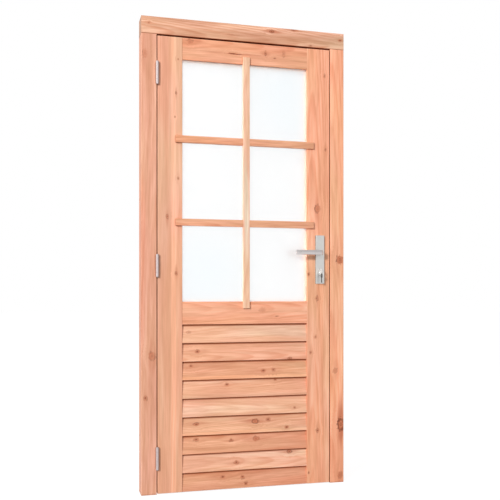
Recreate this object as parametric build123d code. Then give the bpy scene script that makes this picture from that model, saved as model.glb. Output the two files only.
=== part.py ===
from build123d import *
import os

os.makedirs("parts", exist_ok=True)

# A timber door leaf with six panes over weatherboards, in its frame, closed and seen from outside.
# X runs from the hinges to the lock, Y runs inwards and Z runs up, in millimetres.
# The origin is at floor level, in the middle of the frame's width and of the leaf's thickness.

# Leaf
pane_columns = 2
pane_rows = 3
pane_width = 285.0
pane_height = 348.3
stile_width = 114.0
top_rail_height = 101.0
middle_rail_height = 104.7
bottom_rail_height = 100.0
leaf_thickness = 40.0
edge_radius = 2.0
tenon_length = 62.0
tenon_thickness = 14.0
rear_tenon_thickness = 8.0
tenon_shoulder = 22.0
tenon_play = 0.2

# Bars on the glazed face
bar_width = 32.0
bar_proud = 10.0
bar_end_lap = 32.0
bar_edge_radius = 1.5
bar_play = 0.2
bar_glass_gap = 0.8

# Weatherboards and what they are fixed to
board_count = 9
board_exposure = 85.2
board_lap = 12.0
board_lip_thickness = 19.0
board_top_thickness = 8.0
board_play = 0.4
board_nose_radius = 1.2
batten_width = 24.0
batten_thickness = 16.0
batten_bevel = 5.0

# Glazing
sight_lip = 7.0
rebate_width = 12.0
glass_thickness = 4.0
glass_bedding = 0.5
glass_edge_play = 3.0
bead_bevel = 6.0
block_length = 80.0
block_place_share = 0.25

# Frame
jamb_face = 70.0
head_face = 79.0
frame_depth = 90.0
stop_projection = 14.0
side_gap = 3.5
head_gap = 6.5
floor_gap = 4.0
seal_gap = 4.0
seal_width = 6.5
seal_play = 0.3
seal_stem_width = 3.0
seal_stem_depth = 5.0
fixing_radius = 5.0
fixing_heights_share = (0.12, 0.37, 0.62, 0.87)
corner_screw_length = 160.0
corner_screw_depths_share = (0.25, 0.75)

# Screws
screw_radius = 2.0
screw_head_radius = 3.8
screw_length = 30.0
screw_play = 0.1
corner_screw_radius = 3.0
corner_screw_head_radius = 6.0

# Butt hinges
hinge_height = 100.0
hinge_knuckles = 5
hinge_knuckle_gap = 0.4
hinge_barrel_radius = 7.0
hinge_pin_radius = 3.0
hinge_pin_play = 0.05
hinge_cap_radius = 5.5
hinge_cap_height = 3.0
hinge_leaf_thickness = 2.5
hinge_leaf_depth = 28.0
hinge_face_gap = 0.5
hinge_low_rise = 161.0
hinge_top_drop = 170.0
hinge_screws_share = (-0.36, 0.0, 0.36)
hinge_screw_shift_share = 0.16

# Mortise lock
lock_height = 1108.0
backset = 50.0
cylinder_drop_share = 0.3664
case_depth = 78.0
case_thickness = 15.0
case_wall = 1.5
case_rise = 57.0
case_foot = 48.0
case_play = 0.5
forend_thickness = 3.0
forend_width = 20.0
forend_overlap = 22.0
follower_radius = 10.0
follower_play = 0.06
follower_arm_width = 8.0
follower_arm_reach = 19.0
follower_arm_thickness = 8.0
bolt_thickness = 10.0
bolt_play = 0.3
latch_rise = 27.0
latch_height = 26.0
latch_reach = 12.0
latch_head_length = 30.0
latch_tail_height = 6.0
latch_lug_drop = 12.0
latch_lug_width = 5.0
deadbolt_rise = 35.0
deadbolt_height = 34.0
deadbolt_length = 46.0
deadbolt_throw = 20.0
bolt_sink = 0.5

# Cylinder and keys
cylinder_radius = 8.5
cylinder_leg_width = 10.0
cylinder_height = 33.0
cylinder_proud = 3.0
cylinder_play = 0.3
plug_radius = 6.0
plug_play = 0.06
cam_width = 10.0
cam_reach = 14.5
cam_tail_width = 7.0
cam_tail_share = 0.97
cam_play = 0.3
cylinder_screw_radius = 2.5
keyway_width = 2.2
keyway_height = 8.4
keyway_depth = 22.0
key_play = 0.1
key_shoulder = 3.0
key_bow_radius = 11.0
key_hole_radius = 3.5
spare_key_length = 19.0
ring_radius = 12.5
ring_wire_radius = 0.9
ring_play = 0.2

# Handles
plate_width = 44.0
plate_height = 232.0
plate_thickness = 7.0
plate_rise_share = 0.362
plate_corner_radius = 3.0
plate_edge_radius = 1.5
handle_bolt_radius = 2.5
handle_bolt_head_radius = 4.5
handle_bolt_head_height = 2.5
handle_bolt_inset = 11.0
handle_bolt_cover = 2.0
lever_collar_radius = 10.0
lever_collar_height = 9.0
lever_collar_play = 0.1
lever_length = 132.0
lever_reach = 46.0
lever_height = 22.0
lever_thickness = 11.0
lever_ridge = 1.5
lever_bend_radius = 16.0
lever_edge_radius = 2.0
spindle_width = 8.0
spindle_play = 0.1
spindle_socket_depth = 30.0

# Strike plate
strike_thickness = 2.5
strike_width = 26.0
strike_margin = 26.0
strike_corner_radius = 6.0
strike_play = 1.5

# Length by which every cut runs past the solid
overrun = 10.0

# Places worked out from the sizes above
opening_width = pane_columns * pane_width + (pane_columns - 1) * bar_width
opening_height = pane_rows * pane_height + (pane_rows - 1) * bar_width
leaf_width = opening_width + 2 * stile_width
leaf_side = leaf_width / 2
sight_side = opening_width / 2
front = -leaf_thickness / 2
back = leaf_thickness / 2
leaf_bottom = floor_gap
middle_rail_bottom = leaf_bottom + board_count * board_exposure
opening_bottom = middle_rail_bottom + middle_rail_height
opening_top = opening_bottom + opening_height
leaf_top = opening_top + top_rail_height
jamb_inner = leaf_side + side_gap
jamb_outer = jamb_inner + jamb_face
stop_inner = jamb_inner - stop_projection
stop_front = back + seal_gap
frame_back = front + frame_depth
head_bottom = leaf_top + head_gap
stop_top = head_bottom - stop_projection
frame_top = head_bottom + head_face
rebate_front = front + sight_lip
glass_front = rebate_front + glass_bedding
glass_back = glass_front + glass_thickness
board_back = front + board_lip_thickness + edge_radius / 2
hinge_axis_x = -leaf_side - side_gap / 2
hinge_axis_y = front - hinge_barrel_radius - hinge_face_gap
hinge_low = leaf_bottom + hinge_low_rise
hinge_high = leaf_top - hinge_top_drop
hinge_heights = {"bottom": hinge_low, "middle": (hinge_low + hinge_high) / 2, "top": hinge_high}
spindle_x = leaf_side - backset
cylinder_z = lock_height - cylinder_drop_share * plate_height
latch_z = lock_height + latch_rise
deadbolt_z = cylinder_z + deadbolt_rise
case_front = leaf_side - forend_thickness
case_back = case_front - case_depth
case_bottom = cylinder_z - case_foot
case_top = lock_height + case_rise
plate_top = lock_height + plate_rise_share * plate_height
plate_bottom = plate_top - plate_height
plate_front = front - plate_thickness
pocket_depth = deadbolt_throw + strike_play


def block(x, y, z):
    """A box between two places on each axis."""
    middle = [(low + high) / 2 for low, high in (x, y, z)]
    size = [abs(high - low) for low, high in (x, y, z)]
    return Pos(*middle) * Box(*size)


def rod(start, direction, length, radius):
    """A round bar from a point along a direction."""
    return extrude(Plane(origin=start, z_dir=direction) * Circle(radius), length)


def along_x(sketch, x_low, x_high, y=0, z=0):
    """A section drawn in Y and Z, run along X."""
    plane = Plane(origin=(x_low, y, z), x_dir=(0, 1, 0), z_dir=(1, 0, 0))
    return extrude(plane * sketch, x_high - x_low)


def along_y(sketch, y_low, y_high, x=0, z=0):
    """A section drawn in X and Z, run along Y."""
    plane = Plane(origin=(x, y_high, z), x_dir=(1, 0, 0), z_dir=(0, -1, 0))
    return extrude(plane * sketch, y_high - y_low)


def outline(*points):
    """A face inside a closed line of points."""
    return make_face(Polyline(*points, close=True))


def eased(solid, axis, radius):
    """The same solid with its edges along one axis rounded."""
    return fillet(solid.edges().filter_by(axis), radius)


def screw(start, direction, length, radius, head_radius, play=0):
    """A countersunk screw with its head at a point, or with play the hole that takes it."""
    head_height = head_radius - radius
    profile = outline(
        (0, 0),
        (head_radius + play, 0),
        (radius + play, head_height),
        (radius + play, length + play),
        (0, length + play),
    )
    turned = revolve(Plane.XZ * profile, Axis.Z)
    return Plane(origin=start, z_dir=direction) * turned


def cut(solid, tools):
    """A solid with each of a list of tools taken out of it."""
    for tool in tools:
        solid = solid - tool
    return solid


def group(solids):
    """Like pieces that share one node."""
    return Compound(children=[solid.solid() for solid in solids])


# Hinge and lock screws, with their holes

def hinge_screw_places(face_x, direction):
    """The heads of the screws in one row of hinge leaves."""
    middle = front + hinge_leaf_depth / 2
    shift = hinge_leaf_depth * hinge_screw_shift_share
    places = []
    for height in hinge_heights.values():
        for row, share in enumerate(hinge_screws_share):
            y = middle + (shift if row % 2 else -shift)
            places.append(((face_x, y, height + hinge_height * share), direction))
    return places


def small_screws(places, play=0):
    """Countersunk screws of the common size, or their holes."""
    return [
        screw(start, direction, screw_length, screw_radius, screw_head_radius, play)
        for start, direction in places
    ]


strike_top = latch_z + latch_height / 2 + strike_margin
strike_bottom = deadbolt_z - deadbolt_height / 2 - strike_margin
forend_top = case_top + forend_overlap
forend_bottom = case_bottom - forend_overlap
jamb_screw_places = hinge_screw_places(-jamb_inner, (-1, 0, 0))
leaf_screw_places = hinge_screw_places(-leaf_side, (1, 0, 0))
strike_screw_places = [
    ((jamb_inner, 0, height), (1, 0, 0))
    for height in (strike_bottom + strike_margin / 2, strike_top - strike_margin / 2)
]
forend_screw_places = [
    ((leaf_side, 0, height), (-1, 0, 0))
    for height in (forend_bottom + forend_overlap / 2, forend_top - forend_overlap / 2)
]
corner_screw_places = [
    ((side * (jamb_inner + jamb_face / 2), front + frame_depth * share, frame_top), (0, 0, -1))
    for side in (-1, 1)
    for share in corner_screw_depths_share
]


def corner_screws(play=0):
    """The screws down through the head into the jambs, or their holes."""
    return [
        screw(
            start,
            direction,
            corner_screw_length,
            corner_screw_radius,
            corner_screw_head_radius,
            play,
        )
        for start, direction in corner_screw_places
    ]


# Frame

def seal_section():
    """The seal's soft bulb and its stem, seen along the strip, with the stop's face at zero."""
    thickness = seal_gap - seal_play
    bulb = Pos(0, -thickness / 2) * RectangleRounded(seal_width, thickness, thickness / 3)
    stem = Pos(0, seal_stem_depth / 2) * Rectangle(seal_stem_width, seal_stem_depth)
    return bulb + stem


seal_x = (stop_inner + leaf_side) / 2
seal_z = (stop_top + leaf_top) / 2


def weather_seal():
    """One strip up both jambs and across the head."""
    strip = extrude(Plane.XY * seal_section(), seal_z)
    across = along_x(Rot(0, 0, -90) * seal_section(), -seal_x, seal_x, stop_front, seal_z)
    corner = seal_width / 2
    cap = block((-corner, corner), (seal_play - seal_gap, 0), (seal_z, seal_z + corner))
    sides = [Pos(side * seal_x, stop_front, 0) * (strip + cap) for side in (-1, 1)]
    return sides[0] + across + sides[1]


def seal_groove_side(side):
    """The groove for the seal's stem in one jamb."""
    half = seal_stem_width / 2
    x = side * seal_x
    return block((x - half, x + half), (stop_front, stop_front + seal_stem_depth), (0, seal_z))


def seal_groove_head():
    """The groove for the seal's stem across the head."""
    half = seal_stem_width / 2
    return block(
        (-seal_x - half, seal_x + half),
        (stop_front, stop_front + seal_stem_depth),
        (seal_z - half, seal_z + half),
    )


def fixing_holes(side):
    """The holes for the screws that hold a jamb to its wall."""
    depth = (stop_front + frame_back) / 2
    length = jamb_face + stop_projection + 2 * overrun
    start_x = side * (stop_inner - overrun)
    return [
        rod((start_x, depth, frame_top * share), (side, 0, 0), length, fixing_radius)
        for share in fixing_heights_share
    ]


def jamb(side):
    """A jamb: a rebated post under the head."""
    section = outline(
        (side * jamb_outer, front),
        (side * jamb_inner, front),
        (side * jamb_inner, stop_front),
        (side * stop_inner, stop_front),
        (side * stop_inner, frame_back),
        (side * jamb_outer, frame_back),
    )
    post = extrude(Plane.XY * section, head_bottom)
    long_edges = post.edges().filter_by(Axis.Z)
    face_edges = long_edges.group_by(Axis.Y)
    post = fillet(face_edges[0] + face_edges[-1], edge_radius)
    grooves = [seal_groove_side(side), seal_groove_head()]
    return cut(post, fixing_holes(side) + corner_screws(screw_play) + grooves)


def hinge_mortise(face_x, direction, height):
    """The shallow recess that takes one hinge leaf."""
    half = hinge_height / 2
    return block(
        (face_x, face_x + direction * hinge_leaf_thickness),
        (front - overrun, front + hinge_leaf_depth),
        (height - half, height + half),
    )


def hinge_jamb():
    mortises = [hinge_mortise(-jamb_inner, -1, height) for height in hinge_heights.values()]
    return cut(jamb(-1), mortises + small_screws(jamb_screw_places, screw_play))


def strike_pocket(z, height, x_end):
    """A pocket for a bolt, from the rebate's face to a depth."""
    half_y = bolt_thickness / 2 + strike_play
    half_z = height / 2 + strike_play
    return block((jamb_inner, x_end), (-half_y, half_y), (z - half_z, z + half_z))


def strike_pockets(x_end):
    return [
        strike_pocket(latch_z, latch_height, x_end),
        strike_pocket(deadbolt_z, deadbolt_height, x_end),
    ]


def strike_blank(low, high):
    """The strike plate's outline, between two places on X."""
    size_z = strike_top - strike_bottom
    sketch = RectangleRounded(strike_width, size_z, strike_corner_radius)
    return along_x(sketch, low, high, 0, (strike_bottom + strike_top) / 2)


def strike_jamb():
    recess = strike_blank(jamb_inner, jamb_inner + strike_thickness)
    pockets = strike_pockets(jamb_inner + pocket_depth)
    return cut(jamb(1), [recess] + pockets + small_screws(strike_screw_places, screw_play))


def strike_plate():
    plate = strike_blank(jamb_inner, jamb_inner + strike_thickness)
    pockets = strike_pockets(jamb_inner + pocket_depth)
    return cut(plate, pockets + small_screws(strike_screw_places, screw_play))


def frame_head():
    """The head lies over both jambs, and its stop fits between theirs."""
    beam = block((-jamb_outer, jamb_outer), (front, frame_back), (head_bottom, frame_top))
    beam = eased(beam, Axis.X, edge_radius)
    stop = block((-stop_inner, stop_inner), (stop_front, frame_back), (stop_top, head_bottom + head_face / 2))
    return cut(beam + stop, corner_screws(screw_play) + [seal_groove_head()])


# Leaf

def rail_tenon(y, z, length_end):
    """A rail's tenon through both of its shoulders, or with play the mortise that takes it."""
    return block((-length_end, length_end), y, z)


def tenon_span(low, high, play):
    return (low + tenon_shoulder - play, high - tenon_shoulder + play)


def tenons(play=0):
    """The three rails' tenons, each as one bar from stile to stile."""
    end = sight_side + tenon_length + play
    half = tenon_thickness / 2 + play
    middle = (rebate_front + back) / 2
    rear = (board_back + back) / 2
    rear_half = rear_tenon_thickness / 2 + play
    upright = {
        "top": (opening_top, leaf_top),
        "middle": (middle_rail_bottom, opening_bottom),
    }
    bars = {
        name: rail_tenon((middle - half, middle + half), tenon_span(*span, play), end)
        for name, span in upright.items()
    }
    low = (leaf_bottom, leaf_bottom + bottom_rail_height)
    bars["bottom"] = rail_tenon((rear - rear_half, rear + rear_half), tenon_span(*low, play), end)
    return bars


def glazing_rebate():
    """The rebate round the glazed opening, cut from the inside."""
    return block(
        (-sight_side - rebate_width, sight_side + rebate_width),
        (rebate_front, back + overrun),
        (opening_bottom - rebate_width, opening_top + rebate_width),
    )


def stile(side):
    """A stile with its mortises and its part of the glazing rebate."""
    post = block((side * sight_side, side * leaf_side), (front, back), (leaf_bottom, leaf_top))
    post = eased(post, Axis.Z, edge_radius)
    return cut(post, [glazing_rebate()] + list(tenons(tenon_play).values()))


def hinge_stile():
    mortises = [hinge_mortise(-leaf_side, 1, height) for height in hinge_heights.values()]
    return cut(stile(-1), mortises + small_screws(leaf_screw_places, screw_play))


def lock_mortise():
    """The pocket for the lock's case, with the recess for its forend."""
    half = case_thickness / 2 + case_play
    pocket = block(
        (case_back - case_play, case_front),
        (-half, half),
        (case_bottom - case_play, case_top + case_play),
    )
    recess = block(
        (case_front, leaf_side + overrun),
        (-forend_width / 2, forend_width / 2),
        (forend_bottom, forend_top),
    )
    return [pocket, recess]


def stile_bores():
    """The holes through the lock stile for the spindle, the cylinder and the plates' bolts."""
    start = (spindle_x, front - overrun, lock_height)
    spindle = rod(start, (0, 1, 0), leaf_thickness + 2 * overrun, follower_radius)
    cylinder = along_y(
        cylinder_profile(2 * cylinder_play),
        front - overrun,
        back + overrun,
        spindle_x,
        cylinder_z,
    )
    return [spindle, cylinder] + handle_bolts(screw_play)


def lock_stile():
    screws = small_screws(forend_screw_places, screw_play)
    return cut(stile(1), lock_mortise() + stile_bores() + screws)


def rail(z, tenon, y=(front, back)):
    """A rail between the stiles, with its tenons."""
    beam = eased(block((-sight_side, sight_side), y, z), Axis.X, edge_radius)
    return beam + tenon


def top_rail():
    return rail((opening_top, leaf_top), tenons()["top"]) - glazing_rebate()


def middle_rail():
    """The rail between glass and boards, grooved below for the top board's edge. The lock's cuts go
    through its tenon where they meet it."""
    half = sight_side + overrun
    groove = block(
        (-half, half),
        (lap_front(), board_back),
        (middle_rail_bottom - overrun, middle_rail_bottom + board_lap + board_play),
    )
    grooved = rail((middle_rail_bottom, opening_bottom), tenons()["middle"])
    return cut(grooved, [glazing_rebate(), groove] + lock_mortise() + stile_bores())


def bottom_rail():
    """The rail behind the lowest boards."""
    z = (leaf_bottom, leaf_bottom + bottom_rail_height)
    return rail(z, tenons()["bottom"], (board_back, back))


# Weatherboards

def board_slope():
    """How much thinner a board gets for each millimetre of height."""
    return (board_lip_thickness - board_top_thickness) / (board_exposure + board_lap)


def lap_front():
    """How far forward the rebate behind a lip reaches, so that it clears the board below."""
    return board_back - board_top_thickness - board_lap * board_slope() - board_play


def weatherboard(number):
    """One board, numbered from the top: thick at its lip, thin where the next one laps it."""
    top = board_exposure + board_lap
    shoulder = board_lap + board_play
    section = outline(
        (board_back - board_lip_thickness, 0),
        (board_back - board_top_thickness, top),
        (board_back, top),
        (board_back, shoulder),
        (lap_front(), shoulder),
        (lap_front(), 0),
    )
    nose = section.vertices().group_by(Axis.Y)[0].sort_by(Axis.X)[0]
    section = fillet(nose, board_nose_radius)
    half = sight_side - board_play
    return along_x(section, -half, half, 0, middle_rail_bottom - number * board_exposure)


def panel_batten(side):
    """An upright behind the boards' ends, bevelled towards the room."""
    low = leaf_bottom + bottom_rail_height
    inner = side * (sight_side - batten_width)
    strip = block(
        (side * sight_side, inner),
        (board_back, board_back + batten_thickness),
        (low, middle_rail_bottom),
    )
    long_edges = strip.edges().filter_by(Axis.Z)
    corner = long_edges.group_by(Axis.Y)[-1].sort_by(Axis.X)[0 if side > 0 else -1]
    return chamfer(corner, batten_bevel)


# Glazing

def glass():
    reach = rebate_width - glass_edge_play
    return block(
        (-sight_side - reach, sight_side + reach),
        (glass_front, glass_back),
        (opening_bottom - reach, opening_top + reach),
    )


def glazing_blocks():
    """Two packers that the glass stands on."""
    low = opening_bottom - rebate_width
    half = block_length / 2
    places = [opening_width * share for share in (-block_place_share, block_place_share)]
    return group(
        [
            block((x - half, x + half), (glass_front, glass_back), (low, low + glass_edge_play))
            for x in places
        ]
    )


def corners(side, low, high):
    """The corners of an upright rectangle, from its lower left one round."""
    return [(-side, low), (side, low), (side, high), (-side, high)]


def glazing_beads():
    """Four mitred beads that hold the glass from the inside."""
    x_in, x_out = sight_side, sight_side + rebate_width
    corners_in = corners(x_in, opening_bottom, opening_top)
    corners_out = corners(x_out, opening_bottom - rebate_width, opening_top + rebate_width)
    beads = {}
    for index, name in enumerate(("bottom", "lock_side", "top", "hinge_side")):
        following = (index + 1) % len(corners_in)
        face = outline(
            corners_out[index], corners_out[following], corners_in[following], corners_in[index]
        )
        bead = along_y(face, glass_back, back)
        start, end = corners_in[index], corners_in[following]
        middle = Vector((start[0] + end[0]) / 2, back, (start[1] + end[1]) / 2)
        inner_edge = bead.edges().sort_by_distance(middle)[0]
        beads["glazing_bead_" + name] = chamfer(inner_edge, bead_bevel)
    return beads


# Bars

bar_face = front - bar_proud
bar_back = glass_front - bar_glass_gap
bar_half_lap = (bar_face + bar_back) / 2


def bar(x, z, axis):
    """A bar across the opening: deep between the members and thin where it laps over them."""
    spread = {"x": x, "z": z}
    long_low, long_high = spread[axis]
    lapped = {**spread, axis: (long_low - bar_end_lap, long_high + bar_end_lap)}
    face = block(lapped["x"], (bar_face, front), lapped["z"])
    face = fillet(face.faces().sort_by(Axis.Y)[0].edges(), bar_edge_radius)
    short = {**spread, axis: (long_low + bar_play, long_high - bar_play)}
    return face + block(short["x"], (front - bar_proud / 2, bar_back), short["z"])


def cross_bar_places():
    """The heights of the cross bars' lower edges, from the top down."""
    step = pane_height + bar_width
    return [opening_bottom + pane_height + step * row for row in reversed(range(pane_rows - 1))]


def upright_bar():
    """The bar in the middle runs through in front, notched behind for each cross bar."""
    half = bar_width / 2
    whole = bar((-half, half), (opening_bottom, opening_top), "z")
    notches = [
        block(
            (-bar_width, bar_width),
            (bar_half_lap, glass_back),
            (low - bar_play, low + bar_width + bar_play),
        )
        for low in cross_bar_places()
    ]
    return cut(whole, notches)


def cross_bar(low):
    """A bar from stile to stile, notched in front for the upright one."""
    half = bar_width / 2 + bar_play
    whole = bar((-sight_side, sight_side), (low, low + bar_width), "x")
    notch_z = (low - overrun, low + bar_width + overrun)
    return whole - block((-half, half), (bar_face - overrun, bar_half_lap), notch_z)


# Hinges

knuckle_height = hinge_height / hinge_knuckles


def hinge_leaf(height, side, knuckles):
    """One leaf of a butt hinge: a plate in its mortise and the knuckles that it carries."""
    half = hinge_height / 2
    face_x = -jamb_inner if side < 0 else -leaf_side
    plate_x = (face_x, face_x + side * hinge_leaf_thickness)
    leaf = block(plate_x, (front, front + hinge_leaf_depth), (height - half, height + half))
    for knuckle in knuckles:
        low = height - half + knuckle * knuckle_height + hinge_knuckle_gap / 2
        length = knuckle_height - hinge_knuckle_gap
        tongue = block(plate_x, (hinge_axis_y, front + overrun), (low, low + length))
        barrel = rod((hinge_axis_x, hinge_axis_y, low), (0, 0, 1), length, hinge_barrel_radius)
        leaf = leaf + tongue + barrel
    bore_start = (hinge_axis_x, hinge_axis_y, height - half - overrun)
    bore = rod(bore_start, (0, 0, 1), hinge_height + 2 * overrun, hinge_pin_radius + hinge_pin_play)
    places = jamb_screw_places if side < 0 else leaf_screw_places
    return cut(leaf, [bore] + small_screws(places, screw_play))


def hinge_pin(height):
    """A loose pin with a domed cap above and below the knuckles."""
    half = hinge_height / 2
    dome = hinge_cap_height / 2
    profile = outline(
        (0, -half - hinge_cap_height),
        (hinge_cap_radius - dome, -half - hinge_cap_height),
        (hinge_cap_radius, -half - dome),
        (hinge_cap_radius, -half),
        (hinge_pin_radius, -half),
        (hinge_pin_radius, half),
        (hinge_cap_radius, half),
        (hinge_cap_radius, half + dome),
        (hinge_cap_radius - dome, half + hinge_cap_height),
        (0, half + hinge_cap_height),
    )
    return Pos(hinge_axis_x, hinge_axis_y, height) * revolve(Plane.XZ * profile, Axis.Z)


# Lock

def cylinder_profile(play=0):
    """The outline of the cylinder: a round head over a straight leg with a round end."""
    leg_radius = cylinder_leg_width / 2 + play
    leg_length = cylinder_height - cylinder_radius - cylinder_leg_width / 2
    leg = Pos(0, -leg_length / 2) * Rectangle(2 * leg_radius, leg_length)
    return Circle(cylinder_radius + play) + leg + Pos(0, -leg_length) * Circle(leg_radius)


def bolt_slot(z, height, x_low, x_high):
    """The guide through which a bolt slides."""
    half_y = bolt_thickness / 2 + bolt_play
    half_z = height / 2 + bolt_play
    return block((x_low, x_high), (-half_y, half_y), (z - half_z, z + half_z))


def bolt_slots():
    low, high = case_front - overrun, leaf_side + overrun
    return [
        bolt_slot(latch_z, latch_height, low, high),
        bolt_slot(deadbolt_z, deadbolt_height, low, high),
    ]


def lock_case():
    """The lock's hollow case, with holes for the cylinder, its screw and the plates' bolts."""
    half = case_thickness / 2
    shell = block((case_back, case_front), (-half, half), (case_bottom, case_top))
    hollow = block(
        (case_back + case_wall, case_front - case_wall),
        (case_wall - half, half - case_wall),
        (case_bottom + case_wall, case_top - case_wall),
    )
    start = (spindle_x, -half - overrun, lock_height)
    bearing = rod(start, (0, 1, 0), case_thickness + 2 * overrun, follower_radius)
    keyhole = along_y(
        cylinder_profile(cylinder_play),
        -half - overrun,
        half + overrun,
        spindle_x,
        cylinder_z,
    )
    screws = [cylinder_screw(screw_play)] + handle_bolts(screw_play)
    return cut(shell, [hollow, bearing, keyhole] + screws + bolt_slots())


def lock_forend():
    half = forend_width / 2
    plate = block((case_front, leaf_side), (-half, half), (forend_bottom, forend_top))
    screws = small_screws(forend_screw_places, screw_play)
    return cut(plate, bolt_slots() + screws + [cylinder_screw(screw_play)])


def follower():
    """The hub that the spindle turns, with the arm that draws the latch back."""
    half = case_thickness / 2
    radius = follower_radius - follower_play
    hub = rod((spindle_x, -half, lock_height), (0, 1, 0), case_thickness, radius)
    arm_half = follower_arm_width / 2
    arm_y = follower_arm_thickness / 2
    arm = block(
        (spindle_x - arm_half, spindle_x + arm_half),
        (-arm_y, arm_y),
        (lock_height, lock_height + follower_arm_reach),
    )
    return cut(hub + arm, [spindle_bar(spindle_play)])


def spindle_bar(play=0):
    """The square bar from lever to lever, or with play the hole that takes it."""
    half = spindle_width / 2 + play
    end = lever_collar_start() + spindle_socket_depth + play
    return block(
        (spindle_x - half, spindle_x + half),
        (-end, end),
        (lock_height - half, lock_height + half),
    )


def latch():
    """The sprung latch: a bevelled head, and a tail with a lug for the follower's arm."""
    half = bolt_thickness / 2
    nose = leaf_side + latch_reach
    bevel = (nose - bolt_thickness, half)
    head = outline(
        (nose - latch_head_length, -half),
        (nose, -half),
        (nose, latch_reach / 2 - half),
        bevel,
        (nose - latch_head_length, half),
    )
    low = latch_z - latch_height / 2
    solid = extrude(Plane(origin=(0, 0, low)) * head, latch_height)
    tail_y = follower_arm_thickness / 2
    lug_front = spindle_x - follower_arm_width / 2 - bolt_play
    tail_back = lug_front - latch_lug_width
    tail = block(
        (tail_back, nose - latch_head_length / 2),
        (-tail_y, tail_y),
        (latch_z - latch_tail_height / 2, latch_z + latch_tail_height / 2),
    )
    lug = block((tail_back, lug_front), (-tail_y, tail_y), (latch_z - latch_lug_drop, latch_z))
    return solid + tail + lug


def deadbolt():
    """The square bolt, drawn back just behind the forend's face."""
    end = leaf_side - bolt_sink
    solid = bolt_body(end)
    return eased(solid, Axis.Z, bolt_sink)


def bolt_body(end):
    half_y = bolt_thickness / 2
    half_z = deadbolt_height / 2
    return block(
        (end - deadbolt_length, end),
        (-half_y, half_y),
        (deadbolt_z - half_z, deadbolt_z + half_z),
    )


# Cylinder and keys

cylinder_end = leaf_thickness / 2 + plate_thickness + cylinder_proud
key_front = -cylinder_end
keyway_z = cylinder_z - plug_radius / 4


def keyway(low, high, play=0):
    half = keyway_width / 2 - play
    half_z = keyway_height / 2 - play
    return block(
        (spindle_x - half, spindle_x + half),
        (low, high),
        (keyway_z - half_z, keyway_z + half_z),
    )


def cylinder_body():
    """The profile cylinder, open in the middle for the cam."""
    body = along_y(cylinder_profile(), -cylinder_end, cylinder_end, spindle_x, cylinder_z)
    half = cam_width / 2 + cam_play
    cam_room = rod((spindle_x, -half, cylinder_z), (0, 1, 0), 2 * half, cam_reach + cam_play)
    bore_start = (spindle_x, -cylinder_end - overrun, cylinder_z)
    bore = rod(bore_start, (0, 1, 0), 2 * (cylinder_end + overrun), plug_radius + plug_play)
    return cut(body, [cam_room, bore, cylinder_screw(screw_play)])


def cylinder_plug():
    """The outside plug, which the key turns, and the cam on its inner end."""
    half = cam_width / 2
    start = (spindle_x, -cylinder_end, cylinder_z)
    plug = rod(start, (0, 1, 0), cylinder_end + half, plug_radius)
    tail_half = cam_tail_width / 2
    tail = block(
        (spindle_x - tail_half, spindle_x + tail_half),
        (-half, half),
        (cylinder_z - cam_reach * cam_tail_share, cylinder_z),
    )
    return cut(plug + tail, [keyway(key_front - overrun, key_front + keyway_depth)])


def inside_plug():
    """The inside plug, with its own keyway."""
    low = cam_width / 2 + cam_play
    start = (spindle_x, low, cylinder_z)
    plug = rod(start, (0, 1, 0), cylinder_end - low, plug_radius)
    return plug - keyway(cylinder_end - keyway_depth / 2, cylinder_end + overrun)


def key_blade_and_bow(blade_length):
    """A flat key in its own plane: blade along -U from the origin, bow beyond the shoulder."""
    half = keyway_height / 2 - key_play
    bow_middle = key_shoulder + key_bow_radius
    blade = Pos((bow_middle - blade_length) / 2, 0) * Rectangle(blade_length + bow_middle, 2 * half)
    bow = Pos(bow_middle, 0) * Circle(key_bow_radius)
    return blade + bow - Pos(key_hole_place(), 0) * Circle(key_hole_radius)


def key_hole_place():
    """How far the bow's hole lies from the key's shoulder."""
    return key_shoulder + 2 * key_bow_radius - 2 * key_hole_radius


def flat_key(blade_length):
    """A key of the keyway's width, standing on the plane of X, with its blade along -X."""
    thickness = keyway_width - 2 * key_play
    return Pos(0, 0, -thickness / 2) * extrude(key_blade_and_bow(blade_length), thickness)


ring_y = key_front - key_hole_place()
ring_top = keyway_z + key_hole_radius - ring_play
ring_middle = ring_top - ring_wire_radius - ring_radius


def key():
    """The key in the outside plug, with its bow upright."""
    place = Plane(origin=(spindle_x, key_front, keyway_z), x_dir=(0, -1, 0), z_dir=(1, 0, 0))
    return place * flat_key(keyway_depth - key_shoulder)


def key_ring():
    """A wire ring through the holes of both bows."""
    return Pos(spindle_x, ring_y, ring_middle) * Rot(90, 0, 0) * Torus(ring_radius, ring_wire_radius)


def spare_key():
    """The second key, hanging from the ring."""
    hole = ring_middle - ring_radius - ring_wire_radius + key_hole_radius - ring_play
    shoulder = hole - key_hole_place()
    place = Plane(origin=(spindle_x, ring_y, shoulder), x_dir=(0, 0, 1), z_dir=(1, 0, 0))
    return place * flat_key(spare_key_length)


def cylinder_screw(play=0):
    """The screw through the forend that holds the cylinder."""
    z = cylinder_z - cylinder_height + cylinder_radius + cylinder_leg_width / 2
    length = backset + cylinder_leg_width / 4
    return screw(
        (leaf_side, 0, z),
        (-1, 0, 0),
        length,
        cylinder_screw_radius,
        2 * cylinder_screw_radius,
        play,
    )


# Handles

def lever_collar_start():
    """How far from the leaf's middle a lever's collar stands in its plate."""
    return leaf_thickness / 2 + plate_thickness / 2


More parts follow.
